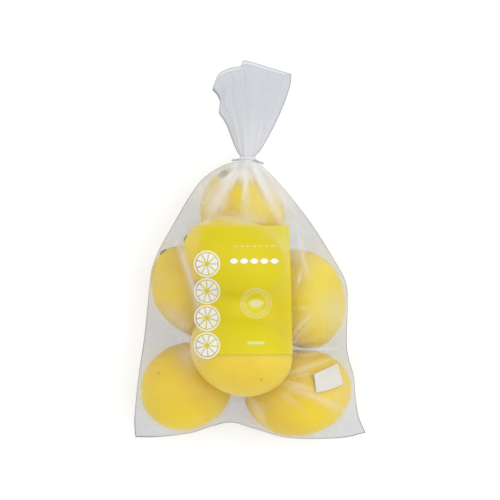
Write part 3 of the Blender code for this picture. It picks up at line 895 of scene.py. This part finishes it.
def makeFan(plan):
    front, v = fanSheet(plan, 1, plan["frontSeed"])
    back, _ = fanSheet(plan, -1, plan["backSeed"])
    inside = np.ones_like(v, bool)
    inside[:, 0], inside[:, -1] = False, False
    piece = twoSheets("filmFan", front, back, inside, film)
    toSide = np.minimum(front[..., 0] - front[:, :1, 0], front[:, -1:, 0] - front[..., 0])
    marks = {
        "gather": between(plan["milkNeck"], plan["milkTop"], smoothStep(0, plan["milkReach"], v)),
        "apart": np.full_like(v, plan["apart"]), "fold": np.zeros_like(v), "cloud": plan["cloud"] * (1 - v),
        # rim: painted shade, a dark line along the fan's sides and mouth
        "rim": 1 - smoothStep(0, plan["hem"], np.minimum((1 - v) * plan["tall"], toSide)),
    }
    markSheets(piece, inside, **{name: (values, values) for name, values in marks.items()})
    standFor(piece, "clear_film", "bag")


makeFan(fanFilm)
print("fan made")

# the printed panel and what is printed on it and beside it
inkLift = {"lime": 0.14, "white": 0.24}
inkForm = {
    "lemonSteps": 40, "lemonRows": 3, "lemonCore": 0.02, "tipSharp": 0.28, "barSteps": 24, "barEnd": 0.01,
}
panel = {
    "bottomLeft": (-33.4, -69.6), "bottomRight": (28.5, -69.6),
    "topLeft": (-33.0, 16.3), "topRight": (26.3, 16.3),
    "columns": 96, "rows": 134,
}
slices = {
    "x": -28.6, "firstY": -9.2, "pitch": -18.2, "count": 4, "radius": 8.8, "rind": 0.95, "gap": 0.75,
    "core": 1.2, "segments": 9, "turned": 0.3, "columns": 64,
}
lemonRow = {"y": -7.4, "firstX": -10.6, "pitch": 6.7, "count": 5, "long": 2.4, "wide": 1.8, "tip": 0.45}
dashRow = {"y": 2.4, "firstX": -9.4, "pitch": 4.1, "count": 7, "long": 2.3, "wide": 0.8}
badge = {
    "x": 4.0, "y": -35.5, "radius": 10.3, "line": 0.55, "innerRadius": 7.6, "ticks": 24, "tickFrom": 8.2,
    "tickTo": 9.2, "tickHalf": 0.06, "long": 4.4, "wide": 2.9, "tip": 0.8, "columns": 72, "innerColumns": 56,
}
footBar = {"x": 3.9, "y": -62.0, "long": 11.5, "wide": 1.9}

# patches where the lime ink is drawn a darker gold: painted shade where the film leaves the fruit between
# two lemons
goldShadePatches = [(20.5, -38, 7.5, 10, 0.75), (24, -51, 6, 9, 0.5)]


def drape(points, lift):
    # lays flat points on the film's front, a hair above it
    placed = []
    for x, y in points:
        hit, normal, _, _ = frontTree.ray_cast(Vector((x * mm, y * mm, 0.3)), Vector((0, 0, -1)))
        placed.append((hit + normal * lift * mm) / mm)
    return placed


class Ink:
    # gathers the flat shapes of one ink, then lays them on the film as one piece
    def __init__(self):
        self.points, self.faces = [], []

    def grid(self, x, y):
        rows, columns = x.shape
        self.faces += gridFaces(rows, columns, len(self.points))
        self.points += np.stack([x, y], axis=-1).reshape(-1, 2).tolist()

    def wedge(self, x, y, inner, outer, start, end, inset=0.0, columns=8, rows=5):
        # a piece of a ring, between two angles; inset keeps a gap of even width beside it
        reach = np.linspace(inner, outer, rows + 1)[:, None]
        trim = np.arcsin(np.minimum(inset / 2 / np.maximum(reach, 0.01), 0.99))
        share = np.linspace(0, 1, columns + 1)[None]
        angle = (end - trim) * (1 - share) + (start + trim) * share
        self.grid(x + reach * np.cos(angle), y + reach * np.sin(angle))

    def ring(self, x, y, radius, line, columns, rows=1):
        self.wedge(x, y, radius - line, radius, 0, 2 * math.pi, columns=columns, rows=rows)

    def lemon(self, x, y, look):
        turn = np.linspace(0, 2 * math.pi, inkForm["lemonSteps"] + 1)[::-1]
        sharp = np.exp(-((np.sin(turn) / inkForm["tipSharp"]) ** 2))
        tip = look["tip"] * np.sign(np.cos(turn)) * sharp
        share = np.linspace(inkForm["lemonCore"], 1, inkForm["lemonRows"] + 1)[:, None]
        self.grid(x + share * (look["long"] * np.cos(turn) + tip), y + share * look["wide"] * np.sin(turn))

    def bar(self, x, y, look):
        # a bar with round ends
        share = np.linspace(-1, 1, inkForm["barSteps"] + 1)
        halfLong, halfWide = look["long"] / 2, look["wide"] / 2
        past = np.maximum(np.abs(share) * halfLong - (halfLong - halfWide), 0) / halfWide
        half = halfWide * np.sqrt(np.clip(1 - past**2, inkForm["barEnd"], 1))
        self.grid(x + share * halfLong * np.ones((3, 1)), y + half * np.array([[-1], [0], [1]]))

    def make(self, name, lift, material):
        piece = newPiece(name, drape(self.points, lift), self.faces, material)
        # painted shade: the inks darken to gold over these patches
        goldShade = patchField(*np.array(self.points).T, goldShadePatches)
        addAttribute(piece, "goldShade", np.minimum(goldShade, 1))
        standFor(piece, "print_ink", "bag")


def fillCorners(plan):
    # a grid of flat points between four corners
    u = np.linspace(0, 1, plan["columns"] + 1)[None, :, None]
    v = np.linspace(0, 1, plan["rows"] + 1)[:, None, None]
    low = between(np.array(plan["bottomLeft"]), np.array(plan["bottomRight"]), u)
    high = between(np.array(plan["topLeft"]), np.array(plan["topRight"]), u)
    return between(low, high, v)


def printPanel():
    lime = Ink()
    lime.grid(*np.moveaxis(fillCorners(panel), -1, 0))
    lime.make("limePanel", inkLift["lime"], limeInk)


def printWhite():
    # a column of citrus slices and a row of small lemons
    white = Ink()
    step = 2 * math.pi / slices["segments"]
    flesh = slices["radius"] - slices["rind"] - slices["gap"]
    for k in range(slices["count"]):
        x, y = slices["x"], slices["firstY"] + k * slices["pitch"]
        white.ring(x, y, slices["radius"], slices["rind"], slices["columns"], rows=2)
        for j in range(slices["segments"]):
            start = (j + slices["turned"] * k) * step
            white.wedge(x, y, slices["core"], flesh, start, start + step, inset=slices["gap"])
    for k in range(lemonRow["count"]):
        white.lemon(lemonRow["firstX"] + k * lemonRow["pitch"], lemonRow["y"], lemonRow)
    white.make("whitePrint", inkLift["white"], whiteInk)


def printPale():
    # a row of dashes, a ring badge round a lemon, and a bar
    pale = Ink()
    for k in range(dashRow["count"]):
        pale.bar(dashRow["firstX"] + k * dashRow["pitch"], dashRow["y"], dashRow)
    x, y, tick = badge["x"], badge["y"], badge["tickHalf"]
    pale.ring(x, y, badge["radius"], badge["line"], badge["columns"])
    pale.ring(x, y, badge["innerRadius"], badge["line"], badge["innerColumns"])
    for k in range(badge["ticks"]):
        aim = 2 * math.pi * k / badge["ticks"]
        pale.wedge(x, y, badge["tickFrom"], badge["tickTo"], aim - tick, aim + tick, columns=2, rows=2)
    pale.lemon(x, y, badge)
    pale.bar(footBar["x"], footBar["y"], footBar)
    pale.make("palePrint", inkLift["white"], paleInk)


printPanel()
printWhite()
printPale()
print("print made")

# the blank label, which curls up at one corner
label = {
    "bottomLeft": (44.4, -96.0), "bottomRight": (62.6, -90.4),
    "topLeft": (42.5, -83.6), "topRight": (58.9, -76.9),
    "columns": 26, "rows": 18, "sag": 0.9, "lift": 0.45, "thick": 0.22, "smoothing": 6,
    "curl": 1.6, "curlFrom": 1.55, "curlTo": 2.0,
}


def makeLabel(plan):
    u = np.linspace(0, 1, plan["columns"] + 1)
    v = np.linspace(0, 1, plan["rows"] + 1)[:, None]
    flat = fillCorners(plan)
    flat[..., 1] -= plan["sag"] * np.sin(math.pi * u) * (1 - v)
    top = np.array(drape(flat.reshape(-1, 2), plan["lift"] + plan["thick"])).reshape(*flat.shape[:2], 3)
    height = top[..., 2]
    for _ in range(plan["smoothing"]):
        beside = height[:-2, 1:-1] + height[2:, 1:-1] + height[1:-1, :-2] + height[1:-1, 2:]
        height[1:-1, 1:-1] = 0.25 * beside
    corner = (u + (1 - v) - plan["curlFrom"]) / (plan["curlTo"] - plan["curlFrom"])
    height += plan["curl"] * np.clip(corner, 0, 1) ** 2
    size = height.size
    index = np.arange(size).reshape(height.shape)
    rim = np.concatenate([index[0], index[1:, -1], index[-1, -2::-1], index[-2:0:-1, 0]]).tolist()
    faces = np.vstack([quadsOf(index), quadsOf(index + size)[:, ::-1]]).tolist()
    faces += [(a, a + size, b + size, b) for a, b in zip(rim, rim[1:] + rim[:1])]
    under = top - (0, 0, plan["thick"])
    piece = newPiece("blankLabel", np.vstack([top.reshape(-1, 3), under.reshape(-1, 3)]), faces, paper)
    standFor(piece, "label_paper", "blank_label")


makeLabel(label)

# the tie: a flat ribbon with a wire along its middle, round the neck and out to two tails
tieForm = {
    "gap": 0.35, "wide": 1.9, "tailWide": 1.5, "thick": 0.28, "wire": 0.42, "open": 0.12, "ringSteps": 65,
    "tailSteps": 33, "knee": (2.4, 0.55), "turns": 1.0, "turnBy": 0.625,
    "tips": ((-12.4, 60.9, 20.6), (9.2, 58.7, 21.6)),
}


def sweepRibbon(path, across, wide, look):
    # sweeps the ribbon's outline along a path; across gives its width's direction
    path, across = np.array(path, float), np.array(across, float)
    along = np.gradient(path, axis=0)
    along /= np.linalg.norm(along, axis=1)[:, None]
    across -= along * (across * along).sum(axis=1)[:, None]
    across /= np.linalg.norm(across, axis=1)[:, None]
    face = np.cross(along, across)
    half, thick, wire = wide / 2, look["thick"] / 2, look["wire"]
    under = [(-half, -thick), (-wire, -thick), (-0.5 * wire, -wire)]
    under += [(-a, b) for a, b in under[::-1]]
    outline = under + [(-a, -b) for a, b in under]
    points = np.stack([path + a * across + b * face for a, b in outline], axis=1)
    index = np.arange(points.size // 3).reshape(len(path), len(outline))
    sides = quadsOf(np.hstack([index, index[:, :1]])).tolist()
    return points.reshape(-1, 3), [*sides, index[0, ::-1].tolist(), index[-1].tolist()]


def makeTie(look):
    radius = neck["radius"] + look["gap"] + look["wire"]
    middle = np.array([neck["x"], (neck["startY"] + neck["endY"]) / 2, neck["z"]])
    turn = np.linspace(-math.pi / 2 + look["open"], 1.5 * math.pi - look["open"], look["ringSteps"])
    ring = middle + radius * np.stack([np.cos(turn), np.zeros_like(turn), np.sin(turn)], axis=1)
    points, faces = sweepRibbon(ring, np.tile((0.0, 1.0, 0.0), (len(ring), 1)), look["wide"], look)
    t = np.linspace(0, 1, look["tailSteps"])[:, None]
    spin = math.pi * look["turns"] * np.minimum(t / look["turnBy"], 1)
    across = np.concatenate([np.zeros_like(t), np.cos(spin), np.sin(spin)], axis=1)
    kneeX, kneeDrop = look["knee"]
    for end, tip, side in ((ring[0], look["tips"][1], 1), (ring[-1], look["tips"][0], -1)):
        knee = middle + (side * kneeX, 0, -radius - kneeDrop)
        tail = (1 - t) ** 2 * end + 2 * t * (1 - t) * knee + t**2 * np.array(tip)
        more, moreFaces = sweepRibbon(tail, across, look["tailWide"], look)
        faces += [tuple(v + len(points) for v in face) for face in moreFaces]
        points = np.vstack([points, more])
    piece = newPiece("neckTie", points, faces, tiePlastic)
    bm = bmesh.new()
    bm.from_mesh(piece.data)
    bmesh.ops.recalc_face_normals(bm, faces=bm.faces)
    bm.to_mesh(piece.data)
    bm.free()
    standFor(piece, "tie_plastic", "neck_tie")


makeTie(tieForm)
print("label and tie made")

# the stage: two soft lamps, a camera that looks straight down, and a pale floor that glows a little, as a
# light table does, which keeps the shadows soft and pale
floorLook = {
    "first": (0.585, 0.585, 0.585, 1), "second": (0.575, 0.575, 0.58, 1), "patches": 3.0,
    "half": 4000.0, "height": -0.2,
    "shader": {"Roughness": 0.7, "Specular IOR Level": 0.2, "Emission Color": (1, 1, 1, 1),
               "Emission Strength": 0.455},
}
lamps = {
    "keyLight": {"place": (0.8, 0.08, 1.3), "size": 1.4, "power": 8.3},
    "fillLight": {"place": (-0.6, 0.25, 1.5), "size": 1.4, "power": 4.2},
}
sky = {"tint": (0.975, 0.985, 1.0, 1), "power": 0.83}
view = {
    "distance": 4.5, "frameWidth": 340.0, "sensor": 36.0, "aimHeight": 14.0, "nearest": 0.05, "furthest": 20,
    "filmsSeenThrough": 48,
}


def makeFloor(look):
    material, tree, shader, place = newMaterial("stageFloor")
    setInputs(tree, shader, {**look["shader"], "Base Color": drift(tree, place, look)})
    half, height = look["half"], look["height"]
    corners = [(-half, -half, height), (half, -half, height), (half, half, height), (-half, half, height)]
    floor = newPiece("stageFloor", corners, [(0, 1, 2, 3)], material, smooth=False)


def makeLamps():
    for name, look in lamps.items():
        lamp = bpy.data.lights.new(name, "AREA")
        lamp.shape, lamp.size, lamp.energy = "SQUARE", look["size"], look["power"]
        holder = linkNew(name, lamp)
        holder.location = look["place"]
        holder.rotation_euler = (-Vector(look["place"])).to_track_quat("-Z", "Y").to_euler()


def makeView(scene):
    world = bpy.data.worlds.new("studio")
    world.use_nodes = True
    background = world.node_tree.nodes["Background"].inputs
    background["Color"].default_value, background["Strength"].default_value = sky["tint"], sky["power"]
    scene.world = world
    camera = bpy.data.cameras.new("frontCamera")
    camera.sensor_width = view["sensor"]
    camera.lens = view["sensor"] * view["distance"] / (view["frameWidth"] * mm)
    camera.clip_start, camera.clip_end = view["nearest"], view["furthest"]
    holder = linkNew("frontCamera", camera)
    holder.location = (0, 0, view["distance"] + view["aimHeight"] * mm)
    scene.camera = holder
    scene.view_settings.view_transform = "Standard"
    scene.cycles.transparent_max_bounces = view["filmsSeenThrough"]


makeFloor(floorLook)
makeLamps()
makeView(bpy.context.scene)
print("stage made")
